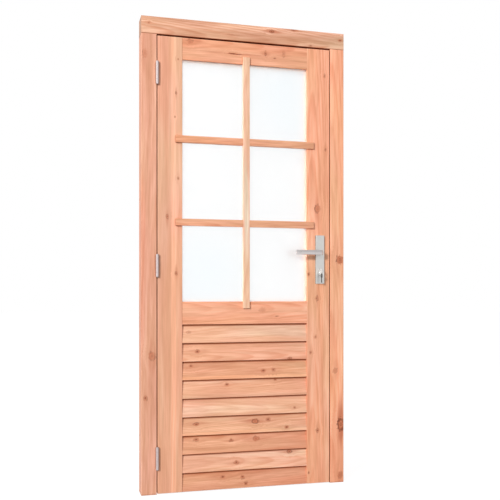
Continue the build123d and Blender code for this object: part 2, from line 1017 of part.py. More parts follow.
def handle_plate():
    """The outside plate, with its bearing for the lever and its cut-out for the cylinder."""
    sketch = RectangleRounded(plate_width, plate_height, plate_corner_radius)
    plate = along_y(sketch, plate_front, front, spindle_x, (plate_top + plate_bottom) / 2)
    plate = fillet(plate.faces().sort_by(Axis.Y)[0].edges(), plate_edge_radius)
    bearing = rod(
        (spindle_x, plate_front - overrun, lock_height),
        (0, 1, 0),
        plate_thickness + 2 * overrun,
        lever_collar_radius + lever_collar_play,
    )
    keyhole = along_y(
        cylinder_profile(cylinder_play),
        plate_front - overrun,
        front + overrun,
        spindle_x,
        cylinder_z,
    )
    return cut(plate, [bearing, keyhole])


def handle_bolts(play=0):
    """The bolts from the inside plate into the back of the outside one."""
    length = leaf_thickness + 2 * plate_thickness - handle_bolt_cover
    bolts = []
    for z in (plate_bottom + handle_bolt_inset, plate_top - handle_bolt_inset):
        start = (spindle_x, back + plate_thickness, z)
        shank = rod(start, (0, -1, 0), length + play, handle_bolt_radius + play)
        head = rod(start, (0, -1, 0), handle_bolt_head_height, handle_bolt_head_radius + play)
        bolts.append(shank + head)
    return bolts


def outside_plate():
    return cut(handle_plate(), handle_bolts(screw_play))


def inside_plate():
    return cut(mirror(handle_plate(), Plane.XZ), handle_bolts(screw_play))


def outside_lever():
    """A lever: a round collar, and a flat bar that bends from the neck into the grip."""
    start = -lever_collar_start()
    grip_y = plate_front - lever_reach + lever_thickness / 2
    path = FilletPolyline(
        (spindle_x, start - lever_collar_height / 2, lock_height),
        (spindle_x, grip_y, lock_height),
        (spindle_x - lever_length, grip_y, lock_height),
        radius=lever_bend_radius,
    )
    half, tall = lever_thickness / 2, lever_height / 2
    flank = half - lever_ridge
    section = outline((-half, -tall), (flank, -tall), (half, 0), (flank, tall), (-half, tall))
    section = fillet(section.vertices(), lever_edge_radius)
    place = Plane(origin=path @ 0, x_dir=(1, 0, 0), z_dir=path % 0)
    grip = sweep(place * section, path=path)
    collar_length = lever_collar_height + plate_thickness / 2
    collar = rod((spindle_x, start, lock_height), (0, -1, 0), collar_length, lever_collar_radius)
    return grip + collar - spindle_bar(spindle_play)


# Every node of the part

nodes = {
    "frame_head": frame_head(),
    "hinge_jamb": hinge_jamb(),
    "strike_jamb": strike_jamb(),
    "frame_corner_screws": group(corner_screws()),
    "weather_seal": weather_seal(),
    "strike_plate": strike_plate(),
    "jamb_screws": group(small_screws(jamb_screw_places + strike_screw_places)),
    "hinge_stile": hinge_stile(),
    "lock_stile": lock_stile(),
    "top_rail": top_rail(),
    "middle_rail": middle_rail(),
    "bottom_rail": bottom_rail(),
    "panel_batten_hinge_side": panel_batten(-1),
    "panel_batten_lock_side": panel_batten(1),
    "glass": glass(),
    "glazing_blocks": glazing_blocks(),
    **glazing_beads(),
    "bar_upright": upright_bar(),
    "leaf_screws": group(small_screws(leaf_screw_places + forend_screw_places)),
    "lock_case": lock_case(),
    "lock_forend": lock_forend(),
    "cylinder_screw": cylinder_screw(),
    "outside_plate": outside_plate(),
    "inside_plate": inside_plate(),
    "handle_bolts": group(handle_bolts()),
    "cylinder_body": cylinder_body(),
    "inside_plug": inside_plug(),
    "outside_lever": outside_lever(),
    "inside_lever": mirror(outside_lever(), Plane.XZ),
    "spindle": spindle_bar(),
    "follower": follower(),
    "latch": latch(),
    "deadbolt": deadbolt(),
    "cylinder_plug": cylinder_plug(),
    "key": key(),
    "key_ring": key_ring(),
    "spare_key": spare_key(),
}
for number, low in enumerate(cross_bar_places(), start=1):
    nodes[f"bar_cross_{number}"] = cross_bar(low)
for number in range(1, board_count + 1):
    nodes[f"weatherboard_{number}"] = weatherboard(number)
for name, height in hinge_heights.items():
    nodes[f"hinge_{name}_frame_leaf"] = hinge_leaf(height, -1, range(0, hinge_knuckles, 2))
    nodes[f"hinge_{name}_door_leaf"] = hinge_leaf(height, 1, range(1, hinge_knuckles, 2))
    nodes[f"hinge_{name}_pin"] = hinge_pin(height)

for name, shape in nodes.items():
    export_step(shape, f"parts/{name}.step")
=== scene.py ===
"""Looks for a six-pane glazed door: planed Douglas fir, satin aluminium, zinc steel and satin glass."""

import math
from typing import NamedTuple

import bpy
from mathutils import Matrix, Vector


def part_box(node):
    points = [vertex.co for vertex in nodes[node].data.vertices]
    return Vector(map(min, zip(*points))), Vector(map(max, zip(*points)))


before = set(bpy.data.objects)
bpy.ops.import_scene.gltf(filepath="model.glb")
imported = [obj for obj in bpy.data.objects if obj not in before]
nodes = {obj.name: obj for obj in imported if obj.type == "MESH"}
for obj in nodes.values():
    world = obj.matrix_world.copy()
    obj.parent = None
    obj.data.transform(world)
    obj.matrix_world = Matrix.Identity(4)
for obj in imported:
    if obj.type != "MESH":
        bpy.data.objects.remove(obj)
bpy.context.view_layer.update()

MM = 0.001
X, Y, Z = 0, 1, 2


def srgb(red, green, blue):
    """A colour named by its screen values, 0 to 255, as the shader's linear colour, by the sRGB curve."""
    shares = [value / 255 for value in (red, green, blue)]
    linear = [s / 12.92 if s <= 0.04045 else ((s + 0.055) / 1.055) ** 2.4 for s in shares]
    return (*linear, 1.0)


WHITE = srgb(255, 255, 255)


class Noise(NamedTuple):
    """A noise pattern: its scale, how many finer layers it has and how strong they are."""

    scale: float
    detail: float = 2.0
    rough: float = 0.5


class Graph:
    """The nodes of a material or the world, joined by short calls that return the socket of their result."""

    def __init__(self, owner):
        self.owner = owner
        owner.use_nodes = True
        self.tree = owner.node_tree
        self.tree.nodes.clear()

    def node(self, kind, **settings):
        made = self.tree.nodes.new(kind)
        for key, value in settings.items():
            setattr(made, key, value)
        return made

    def feed(self, socket, value):
        if isinstance(value, bpy.types.NodeSocket):
            self.tree.links.new(value, socket)
        else:
            socket.default_value = value

    def math(self, operation, *values, clamp=False):
        made = self.node("ShaderNodeMath", operation=operation, use_clamp=clamp)
        for socket, value in zip(made.inputs, values):
            self.feed(socket, value)
        return made.outputs[0]

    def vector(self, x, y, z):
        made = self.node("ShaderNodeCombineXYZ")
        for socket, value in zip(made.inputs, (x, y, z)):
            self.feed(socket, value)
        return made.outputs[0]

    def parted(self, vector):
        """A vector's three coordinates."""
        made = self.node("ShaderNodeSeparateXYZ")
        self.feed(made.inputs[0], vector)
        return made.outputs

    def length(self, first, second):
        """The length of a line whose extents in two directions are these."""
        squares = [self.math("MULTIPLY", extent, extent) for extent in (first, second)]
        return self.math("SQRT", self.math("ADD", *squares))

    def noise(self, place, pattern):
        """A noise pattern from 0 to 1, with its mean near a half."""
        made = self.node("ShaderNodeTexNoise")
        for key, value in zip(("Vector", "Scale", "Detail", "Roughness"), (place, *pattern)):
            self.feed(made.inputs[key], value)
        return made.outputs["Fac"]

    def fade(self, value, start, end, low=0.0, high=1.0):
        """A smooth change from low to high while the value goes from start to end."""
        made = self.node("ShaderNodeMapRange", interpolation_type="SMOOTHSTEP")
        for key, setting in zip(
            ("Value", "From Min", "From Max", "To Min", "To Max"), (value, start, end, low, high)
        ):
            self.feed(made.inputs[key], setting)
        return made.outputs[0]

    def about(self, value, spread, middle=1.0):
        """A pattern from 0 to 1 as a factor that swings about its middle value."""
        return self.math("MULTIPLY_ADD", value, 2 * spread, middle - spread)

    def mix(self, share, first, second, blend="MIX"):
        made = self.node("ShaderNodeMix", data_type="RGBA", blend_type=blend)
        self.feed(made.inputs["Factor"], share)
        colours = [socket for socket in made.inputs if socket.type == "RGBA"]
        self.feed(colours[0], first)
        self.feed(colours[1], second)
        return next(socket for socket in made.outputs if socket.type == "RGBA")

    def tinted(self, colour, tone):
        return self.mix(1.0, colour, tone, "MULTIPLY")

    def scaled(self, colour, factor):
        made = self.node("ShaderNodeVectorMath", operation="SCALE")
        self.feed(made.inputs[0], colour if isinstance(colour, bpy.types.NodeSocket) else colour[:3])
        self.feed(made.inputs["Scale"], factor)
        return made.outputs[0]

    def bump(self, height, strength, distance):
        made = self.node("ShaderNodeBump")
        self.feed(made.inputs["Height"], height)
        self.feed(made.inputs["Strength"], strength)
        self.feed(made.inputs["Distance"], distance)
        return made.outputs[0]

    def place(self):
        """The place in the part's own frame, in metres, and its three coordinates."""
        object_place = self.node("ShaderNodeTexCoord").outputs["Object"]
        return object_place, self.parted(object_place)

    def facing(self, axis):
        """How squarely the surface faces along one of the part's axes, from 0 to 1."""
        normal = self.parted(self.node("ShaderNodeTexCoord").outputs["Normal"])
        return self.math("ABSOLUTE", normal[axis])

    def principled(self, **inputs):
        """A Principled shader, with its inputs given by name."""
        made = self.node("ShaderNodeBsdfPrincipled")
        for key, value in inputs.items():
            self.feed(made.inputs[key.replace("_", " ")], value)
        return made.outputs[0]

    def finish(self, surface):
        """The material, with this shader as its surface."""
        out = self.node("ShaderNodeOutputMaterial")
        self.feed(out.inputs["Surface"], surface)
        return self.owner


def new_material(name):
    return Graph(bpy.data.materials.new(name))


# Timber

ALONG = {"X": X, "Z": Z}
ACROSS = {"X": Z, "Z": X}

EARLY_WOOD = srgb(249, 187, 151)
LATE_WOOD = srgb(226, 144, 104)
SAPWOOD = srgb(246, 208, 174)
PINKER = (1.0, 0.955, 0.985, 1.0)
YELLOWER = (1.0, 1.0, 0.98, 1.0)

NOISE_MEAN = 0.5
GRAIN_STRETCH = 0.06
BROAD_NOISE, BROAD_SPREAD = Noise(24.0), 0.085
MIDDLING_NOISE, MIDDLING_SPREAD = Noise(62.0), 0.075
FINE_NOISE, FINE_SPREAD = Noise(190.0, 3.0, 0.6), 0.05
STREAK_STEP = (0.30, 0.70)
HUE_SHARES = (1.0, 1.5, 1.9)
WANDER_NOISE = Noise(6.0, 1.0)
WANDER_STRETCH = 0.45
WANDERS = {"X": 22 * MM, "Z": 9 * MM}
CAST_NOISE = Noise(9.0, 1.0)
CAST_STRETCH = 0.30
CAST_STEP = (0.38, 0.62)
SAP_NOISE = Noise(15.0, 1.0)
SAP_STEP = (0.48, 0.62)
SAP_SHARE = 0.35
BAND_EDGE_SHARES = (0.35, 0.65)

RING_GAP = 6.0 * MM
RING_RISE = (0.25, 0.85)
RING_END = (0.86, 1.0)
RING_STEP = (0.35, 0.65)
RING_SHARES = (0.12, 0.48)

KNOT_WOOD = srgb(190, 100, 66)
KNOT_PALE = srgb(212, 134, 98)
KNOT_EYE = srgb(112, 52, 30)
LARGE_KNOT = 20.0
LARGE_KNOT_EYE = 0.25
KNOT_FAR_OFF = 99.0
KNOT_PUSH = 9 * MM
KNOT_PUSH_RADII = 4.5
KNOT_RIPPLE = 0.6
KNOT_RIPPLE_NOISE = Noise(110.0, 3.0)
KNOT_TAIL = 4.0
KNOT_TAIL_RADII, KNOT_TAIL_STEP, KNOT_TAIL_SHARE = (0.4, 1.7), (0.40, 0.62), 0.75
KNOT_BODY_RADII, KNOT_BODY_SHARE = (0.70, 1.20), 0.9
KNOT_RIM_START, KNOT_RIM_END = (0.6, 0.95), (1.0, 1.4)
KNOT_RIM_STEP, KNOT_RIM_SHARE = (0.42, 0.60), 0.8
KNOT_EYE_RADII, KNOT_EYE_SHARE = (0.20, 0.62), 0.95
KNOT_RINGS = 2.6
KNOT_RING_RISE = (0.2, 0.9)

# Painted shade: a dark brown mixed into the wood where ambient occlusion finds a narrow gap, and painted
# shadow under each board's lip and along the head's lower edge.
PAINTED_SHADE_BROWN = srgb(150, 66, 18)
CREVICE_REACH = 14 * MM
CREVICE_SAMPLES = 8
CREVICE_OPENNESS = (0.30, 0.80)
CREVICE_SHARE = 0.9
# Painted shadow: a dark band under each board's lip and along the head's lower edge.
PAINTED_SHADOW_SHARE = 0.86
LAP_SHADOW_HEIGHTS = (5.0 * MM, 12.0 * MM)
HEAD_SHADOW_HEIGHTS = (1.0 * MM, 4.5 * MM)
HEAD_GAP = 6.5 * MM

END_GRAIN_FACING = (0.6, 0.8)
END_GRAIN_SHADE = 0.80
# Paler long edges: wear, and a painted highlight along the board noses.
PALE_EDGE_WIDTH = 2.5 * MM
PALE_EDGE_STEP = (0.35, 0.65)
WORN_AND_HIGHLIGHT_GAIN = 0.10
TIMBER_ROUGHNESS, TIMBER_ROUGHNESS_SPREAD = 0.52, 0.10
LATE_WOOD_ROUGHNESS = -0.06
LATE_WOOD_HEIGHT = 0.5
TIMBER_SPECULAR = 0.3
TIMBER_BUMP = (0.25, 0.3 * MM)


class Knot(NamedTuple):
    """A knot on a member's face: where it lies in millimetres, its size and how dark it is."""

    x: float
    z: float
    width: float
    height: float
    dark: float = 0.8

    def eye(self):
        """How dark its middle is: a small knot has a dark eye, and a large one a pale heart."""
        large = min(self.width, self.height) > LARGE_KNOT
        return self.dark * (LARGE_KNOT_EYE if large else 1.0)


class Band(NamedTuple):
    """A stripe along the grain, in millimetres across it: paler where the tone is over 1."""

    middle: float
    width: float
    tone: float


class Timber(NamedTuple):
    """How one member was sawn from the tree: the heart's place off the member's middle, in millimetres
    across it and in depth, and how fast that depth changes along the grain."""

    grain: str
    tone: tuple
    seed: float
    heart: tuple
    knots: tuple = ()
    bands: tuple = ()
    sap: float = 0.0
    taper: float = 0.04
    figure: float = 1.0


class KnotField(NamedTuple):
    """What the knots do to a place on the face: sockets, or plain numbers where there is no knot."""

    away: object
    tail: object
    dark: object
    eye: object
    push: object


def knot_field(graph, along, across, wood, ripple):
    """The distance to the nearest knot in its radii, the same drawn out along the grain, how dark it and
    its middle are, and how far the knots push the fibres aside."""
    away, tail, dark, eye, push = KNOT_FAR_OFF, KNOT_FAR_OFF, 0.0, 0.0, 0.0
    for knot in wood.knots:
        lie = (knot.z, knot.height, knot.x, knot.width)
        if wood.grain == "X":
            lie = (knot.x, knot.width, knot.z, knot.height)
        middle_along, length, middle_across, breadth = (value * MM for value in lie)
        off_along = graph.math("DIVIDE", graph.math("SUBTRACT", along, middle_along), length / 2)
        off_across = graph.math("DIVIDE", graph.math("SUBTRACT", across, middle_across), breadth / 2)
        square_along, square_across = (graph.math("MULTIPLY", off, off) for off in (off_along, off_across))
        smooth = graph.math("SQRT", graph.math("ADD", square_along, square_across))
        near = graph.math("MULTIPLY", ripple, smooth)
        drawn_out = graph.math("SQRT", graph.math(
            "MULTIPLY_ADD", square_along, 1 / KNOT_TAIL ** 2, square_across))
        closer = graph.math("LESS_THAN", near, away)
        dark, eye = (
            graph.math("MULTIPLY_ADD", closer, graph.math("SUBTRACT", own, others), others)
            for own, others in ((knot.dark, dark), (knot.eye(), eye))
        )
        aside = graph.fade(near, 0.0, KNOT_PUSH_RADII, -KNOT_PUSH * knot.dark, 0.0)
        push = graph.math("ADD", graph.math("MULTIPLY", off_across, aside), push)
        away = graph.math("MINIMUM", near, away)
        tail = graph.math("MINIMUM", drawn_out, tail)
    return KnotField(away, tail, dark, eye, push)


def growth_rings(graph, bent, y, along, wood, middle):
    """How much late wood lies here: dark at a ring's outer side, with a sharp end."""
    heart_across, heart_depth = (offset * MM for offset in wood.heart)
    depth = graph.math("SUBTRACT", y, middle[Y] + heart_depth)
    radius = graph.length(
        graph.math("SUBTRACT", bent, middle[ACROSS[wood.grain]] + heart_across),
        graph.math("MULTIPLY_ADD", along, -wood.taper, depth),
    )
    phase = graph.math("FRACT", graph.math("DIVIDE", radius, RING_GAP))
    return graph.math("MULTIPLY", graph.fade(phase, *RING_RISE), graph.fade(phase, *RING_END, 1.0, 0.0))


def streaked(graph, colour, pattern, spread):
    """Streaks along the grain: redder where they are darker, and yellower where they are paler."""
    deep, light = (tuple(1 + sign * spread * share for share in HUE_SHARES) + (1.0,) for sign in (-1, 1))
    return graph.tinted(colour, graph.mix(graph.fade(pattern, *STREAK_STEP), deep, light))


def banded(graph, colour, bent, bands):
    """Paler or darker stripes with soft edges along the grain."""
    for band in bands:
        offset = graph.math("ABSOLUTE", graph.math("SUBTRACT", bent, band.middle * MM))
        edges = (band.width * MM * share for share in BAND_EDGE_SHARES)
        colour = graph.scaled(colour, graph.fade(offset, *edges, band.tone, 1.0))
    return colour


def show_knots(graph, colour, knots, streaks):
    """Ringed knot wood with an eye, a broken rim and brown tails along the grain."""
    tail = graph.fade(knots.tail, *KNOT_TAIL_RADII, KNOT_TAIL_SHARE, 0.0)
    tail = graph.math("MULTIPLY", tail, graph.fade(streaks, *KNOT_TAIL_STEP))
    body = graph.fade(knots.away, *KNOT_BODY_RADII, KNOT_BODY_SHARE, 0.0)
    rim_start = graph.fade(knots.away, *KNOT_RIM_START)
    rim = graph.math("MULTIPLY", rim_start, graph.fade(knots.away, *KNOT_RIM_END, 1.0, 0.0))
    rim = graph.math("MULTIPLY", rim, graph.fade(streaks, *KNOT_RIM_STEP, 0.0, KNOT_RIM_SHARE))
    eye = graph.fade(knots.away, *KNOT_EYE_RADII, KNOT_EYE_SHARE, 0.0)
    rings = graph.math("FRACT", graph.math("MULTIPLY", knots.away, KNOT_RINGS))
    ringed = graph.mix(graph.fade(rings, *KNOT_RING_RISE), KNOT_PALE, KNOT_WOOD)
    for share, dark, wood in (
        (tail, knots.dark, KNOT_WOOD),
        (body, knots.dark, ringed),
        (rim, knots.dark, KNOT_EYE),
        (eye, knots.eye, KNOT_EYE),
    ):
        colour = graph.mix(graph.math("MULTIPLY", share, dark), colour, wood)
    return colour


def worn_and_highlit(graph, colour, from_middle, half_width, streaks):
    """Paler wood along the member's long edges: wear where hands and weather rub them, and a painted
    highlight on the lit noses of the boards.
    """
    from_edge = graph.math("SUBTRACT", half_width, graph.math("ABSOLUTE", from_middle))
    edge = graph.fade(from_edge, 0.0, PALE_EDGE_WIDTH, 1.0, 0.0)
    rubbed_and_lit = graph.math("MULTIPLY", edge, graph.fade(streaks, *PALE_EDGE_STEP))
    return graph.scaled(colour, graph.math("MULTIPLY_ADD", rubbed_and_lit, WORN_AND_HIGHLIGHT_GAIN, 1.0))


def painted_crevice_shade(graph):
    """How much painted shade lies here, from ambient occlusion: none in the open, most in a narrow gap."""
    made = graph.node("ShaderNodeAmbientOcclusion", samples=CREVICE_SAMPLES)
    graph.feed(made.inputs["Distance"], CREVICE_REACH)
    return graph.fade(made.outputs["AO"], *CREVICE_OPENNESS, CREVICE_SHARE, 0.0)


def with_painted_shade(graph, colour, z, gaps, shadow_below, shadow_above):
    """Painted shade in the gaps, and painted shadow below one height or above another, each where it is
    asked for.
    """
    shares = []
    if gaps:
        shares.append(painted_crevice_shade(graph))
    if shadow_below is not None:
        below = graph.math("SUBTRACT", shadow_below, z)
        shares.append(graph.fade(below, *LAP_SHADOW_HEIGHTS, PAINTED_SHADOW_SHARE, 0.0))
    if shadow_above is not None:
        above = graph.math("SUBTRACT", z, shadow_above)
        shares.append(graph.fade(above, *HEAD_SHADOW_HEIGHTS, PAINTED_SHADOW_SHARE, 0.0))
    for share in shares:
        colour = graph.mix(share, colour, PAINTED_SHADE_BROWN)
    return colour


def timber_material(name, piece, wood, gaps=False, shadow_below=None, shadow_above=None):
    """Growth rings about the tree's heart, bent round the knots, with streaks along the grain, painted shade
    in the gaps where asked for, and painted shadow under the lip above a board or along the head's lower
    edge."""
    graph = new_material(name)
    low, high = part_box(piece)
    middle = [(near + far) / 2 for near, far in zip(low, high)]
    place, coordinates = graph.place()
    _, y, z = coordinates
    axis, side = ALONG[wood.grain], ACROSS[wood.grain]
    along, across = coordinates[axis], coordinates[side]

    def drawn_out(stretch, place_across):
        return graph.vector(place_across, y, graph.math("MULTIPLY_ADD", along, stretch, wood.seed))

    ripple = graph.about(graph.noise(place, KNOT_RIPPLE_NOISE), KNOT_RIPPLE)
    knots = knot_field(graph, along, across, wood, ripple)
    wander = graph.noise(drawn_out(WANDER_STRETCH, across), WANDER_NOISE)
    wander = graph.math("SUBTRACT", wander, NOISE_MEAN)
    bent = graph.math("ADD", graph.math("MULTIPLY_ADD", wander, WANDERS[wood.grain], across), knots.push)
    fibres = drawn_out(GRAIN_STRETCH, bent)
    patterns = (BROAD_NOISE, MIDDLING_NOISE, FINE_NOISE, SAP_NOISE)
    broad, middling, fine, sap = (graph.noise(fibres, pattern) for pattern in patterns)
    cast = graph.noise(drawn_out(CAST_STRETCH, bent), CAST_NOISE)

    late = growth_rings(graph, bent, y, along, wood, middle)
    ring_share = graph.fade(broad, *RING_STEP, *(share * wood.figure for share in RING_SHARES))
    colour = graph.mix(graph.math("MULTIPLY", late, ring_share), EARLY_WOOD, LATE_WOOD)
    colour = graph.mix(graph.fade(sap, *SAP_STEP, 0.0, SAP_SHARE + wood.sap), colour, SAPWOOD)
    for tone in (graph.mix(graph.fade(cast, *CAST_STEP), PINKER, YELLOWER), wood.tone):
        colour = graph.tinted(colour, tone)
    for pattern, spread in ((broad, BROAD_SPREAD), (middling, MIDDLING_SPREAD), (fine, FINE_SPREAD)):
        colour = streaked(graph, colour, pattern, spread * wood.figure)
    colour = banded(graph, colour, bent, wood.bands)
    if wood.knots:
        colour = show_knots(graph, colour, knots, middling)
    end_shade = graph.fade(graph.facing(axis), *END_GRAIN_FACING, 1.0, END_GRAIN_SHADE)
    colour = graph.scaled(colour, end_shade)
    from_middle = graph.math("SUBTRACT", across, middle[side])
    # Wear and a painted highlight along the long edges.
    colour = worn_and_highlit(graph, colour, from_middle, (high[side] - low[side]) / 2, fine)
    # Painted shade in the gaps, and painted shadow under the lip above a board and along the head's lower
    # edge.
    colour = with_painted_shade(graph, colour, z, gaps, shadow_below, shadow_above)

    roughness = graph.about(fine, TIMBER_ROUGHNESS_SPREAD, TIMBER_ROUGHNESS)
    height = graph.math("ADD", graph.math("MULTIPLY", late, LATE_WOOD_HEIGHT), fine)
    return graph.finish(graph.principled(
        Base_Color=colour,
        Roughness=graph.math("ADD", roughness, graph.math("MULTIPLY", late, LATE_WOOD_ROUGHNESS)),
        Specular_IOR_Level=TIMBER_SPECULAR,
        Normal=graph.bump(height, *TIMBER_BUMP),
    ))


def tint(red, green, blue):
    """A tone that the wood's colours are multiplied by."""
    return (red, green, blue, 1.0)


PALE = tint(1.01, 1.06, 1.10)
PLAIN = tint(0.97, 0.95, 0.945)
ORANGE = tint(1.03, 0.935, 0.89)
TAN = tint(0.92, 0.87, 0.82)
RED = tint(0.90, 0.76, 0.70)
ROSE = tint(0.88, 0.775, 0.785)
DULL = tint(0.85, 0.89, 0.91)
CREAM = tint(1.0, 1.19, 1.30)
DEEP = tint(0.86, 0.715, 0.65)
FAWN = tint(0.925, 0.93, 0.91)
SALMON = tint(0.93, 0.79, 0.735)
AMBER = tint(1.07, 0.96, 0.89)
BLUSH = tint(0.94, 0.91, 0.92)
RUSSET = tint(0.88, 0.765, 0.69)

FRAME_TIMBER = {
    "frame_head": Timber("X", DULL, 1.0, (-20, 34), figure=1.5, knots=(
        Knot(125, 2150, 22, 13), Knot(235, 2166, 21, 8, 0.6), Knot(470, 2138, 23, 13),
        Knot(-455, 2140, 12, 9, 0.6), Knot(-60, 2118, 50, 5, 0.35), Knot(320, 2100, 16, 9, 0.6),
    )),
    "hinge_jamb": Timber("Z", ROSE, 2.0, (30, 60), taper=0.015, knots=(
        Knot(-472, 2000, 21, 43, 0.5), Knot(-440, 630, 30, 37, 0.7), Knot(-470, 440, 18, 24, 0.6),
    )),
    "strike_jamb": Timber("Z", AMBER, 3.0, (-20, 40), taper=0.02, knots=(
        Knot(470, 1076, 35, 43, 1.0), Knot(445, 540, 21, 24, 0.5), Knot(475, 280, 32, 54, 1.0),
        Knot(470, 35, 22, 33, 0.8),
    )),
}
LEAF_TIMBER = {
    "hinge_stile": Timber("Z", BLUSH, 4.0, (60, 70), taper=0.012, knots=(
        Knot(-320, 1985, 9, 12, 0.5), Knot(-330, 1830, 9, 12, 0.5), Knot(-335, 1720, 10, 13, 0.5),
        Knot(-320, 1440, 10, 13, 0.5), Knot(-370, 1265, 12, 20, 0.5), Knot(-330, 1005, 12, 16, 0.6),
    ), bands=(Band(-374, 44, 0.965), Band(-341, 22, 1.13)), figure=0.6),
    "lock_stile": Timber("Z", ORANGE, 5.0, (-30, 50), taper=0.02, knots=(
        Knot(355, 1320, 29, 37, 0.6), Knot(390, 1960, 12, 20, 0.5), Knot(395, 1605, 10, 16, 0.5),
        Knot(310, 1005, 13, 18, 0.8), Knot(350, 890, 18, 23, 0.5), Knot(345, 705, 16, 20, 0.5),
        Knot(320, 630, 13, 18, 0.6), Knot(355, 255, 16, 21, 0.6), Knot(310, 55, 12, 18, 0.6),
    )),
    "top_rail": Timber("X", SALMON, 6.0, (40, 60), (
        Knot(-265, 2070, 29, 21, 0.6), Knot(-65, 2031, 64, 8, 1.0), Knot(95, 2045, 10, 21, 0.6),
        Knot(140, 2025, 20, 8, 0.6), Knot(185, 2050, 13, 33, 0.3),
    )),
    "middle_rail": Timber("X", ORANGE, 7.0, (20, 70), (
        Knot(80, 835, 36, 23, 0.35), Knot(150, 805, 18, 8, 0.5),
    )),
    "bottom_rail": Timber("X", TAN, 8.0, (40, 60), (Knot(120, 90, 23, 18),)),
    "panel_batten_hinge_side": Timber("Z", PLAIN, 9.0, (20, 40)),
    "panel_batten_lock_side": Timber("Z", PLAIN, 10.0, (-20, 40)),
    "glazing_bead_bottom": Timber("X", PLAIN, 11.0, (10, 30)),
    "glazing_bead_top": Timber("X", PLAIN, 12.0, (10, 30)),
    "glazing_bead_lock_side": Timber("Z", PLAIN, 13.0, (10, 30)),
    "glazing_bead_hinge_side": Timber("Z", PLAIN, 14.0, (10, 30)),
}
BOARD_TIMBER = {
    "weatherboard_1": Timber("X", PALE, 21.0, (30, 60), (Knot(-270, 735, 22, 13, 0.3),), sap=0.3),
    "weatherboard_2": Timber("X", PLAIN, 22.0, (-40, 50), (
        Knot(-230, 645, 23, 17, 0.7), Knot(215, 605, 21, 13, 0.6),
    )),
    "weatherboard_3": Timber("X", TAN, 23.0, (20, 60), (
        Knot(-260, 580, 23, 16, 0.6), Knot(85, 550, 26, 17, 0.7), Knot(135, 552, 21, 16, 0.6),
    ), (Band(523, 15, 1.22),)),
    "weatherboard_4": Timber("X", PLAIN, 24.0, (40, 70), (
        Knot(-90, 490, 23, 16, 0.7), Knot(145, 505, 21, 16, 0.6),
    )),
    "weatherboard_5": Timber("X", PALE, 25.0, (-30, 60), (Knot(240, 370, 14, 12, 0.6),)),
    "weatherboard_6": Timber("X", FAWN, 26.0, (30, 50), (
        Knot(-235, 310, 27, 17, 0.7), Knot(45, 312, 27, 21, 0.8), Knot(110, 318, 23, 17, 0.7),
        Knot(200, 278, 23, 16, 0.8),
    ), (Band(266, 12, 1.20),)),
    "weatherboard_7": Timber("X", RED, 27.0, (20, 50), (
        Knot(-235, 240, 26, 17, 0.7), Knot(-70, 230, 21, 16, 0.6), Knot(50, 230, 29, 23, 0.8),
    )),
    "weatherboard_8": Timber("X", PALE, 28.0, (-20, 60), (
        Knot(-45, 125, 27, 17, 0.7), Knot(215, 160, 23, 16, 0.7),
    )),
    "weatherboard_9": Timber("X", DEEP, 29.0, (30, 60), (
        Knot(-110, 60, 26, 17, 0.7), Knot(-15, 55, 23, 17, 0.7), Knot(0, 22, 21, 16, 0.7),
    )),
}
# Members that get painted shade in the gap round the leaf.
BESIDE_THE_GAP = ("frame_head", "hinge_jamb", "strike_jamb", "hinge_stile", "top_rail")
BAR_TIMBER = {
    "bar_upright": Timber("Z", CREAM, 31.0, (20, 50), sap=1.4),
    "bar_cross_1": Timber("X", RUSSET, 32.0, (15, 50)),
    "bar_cross_2": Timber("X", RUSSET, 33.0, (-15, 50)),
}


# Metals, glass, rubber and plastic

BRUSH_STRETCH = 0.03
BRUSH_NOISE, BRUSH_SPREAD, BRUSH_ROUGHNESS = Noise(2600.0), 0.10, 0.06
BRUSH_BUMP = (0.08, 0.05 * MM)
SMUDGE_NOISE, SMUDGE_SPREAD, SMUDGE_ROUGHNESS = Noise(45.0, 3.0), 0.06, 0.05
METAL_EDGE_POINTINESS = (0.52, 0.62)
METAL_FLANK_FACING = (0.5, 0.9)

GLASS_BLUE = srgb(249, 253, 255)
GLASS_IOR = 1.5
GLASS_ROUGHNESS = 0.62
DUST_NOISE, DUST_STEP, DUST_ROUGHNESS = Noise(420.0, 4.0, 0.7), (0.35, 0.75), 0.08
CLOUD_NOISE, CLOUD_SHARE = Noise(3.0), 0.3

MOTTLE_NOISE, MOTTLE_SPREAD, MOTTLE_ROUGHNESS = Noise(160.0, 4.0, 0.6), 0.25, 0.15
MOTTLE_BUMP = (0.2, 0.1 * MM)
SCUFF_NOISE, SCUFF_STEP, SCUFF_GAIN = Noise(700.0, 3.0, 0.7), (0.60, 0.72), 1.35


class BluePatch(NamedTuple):
    """A faintly blue part of the glass: its middle and its reach, in metres."""

    x: float
    z: float
    reach: float


BLUE_PATCHES = (BluePatch(0.26, 1.86, 0.40), BluePatch(-0.22, 0.98, 0.36))


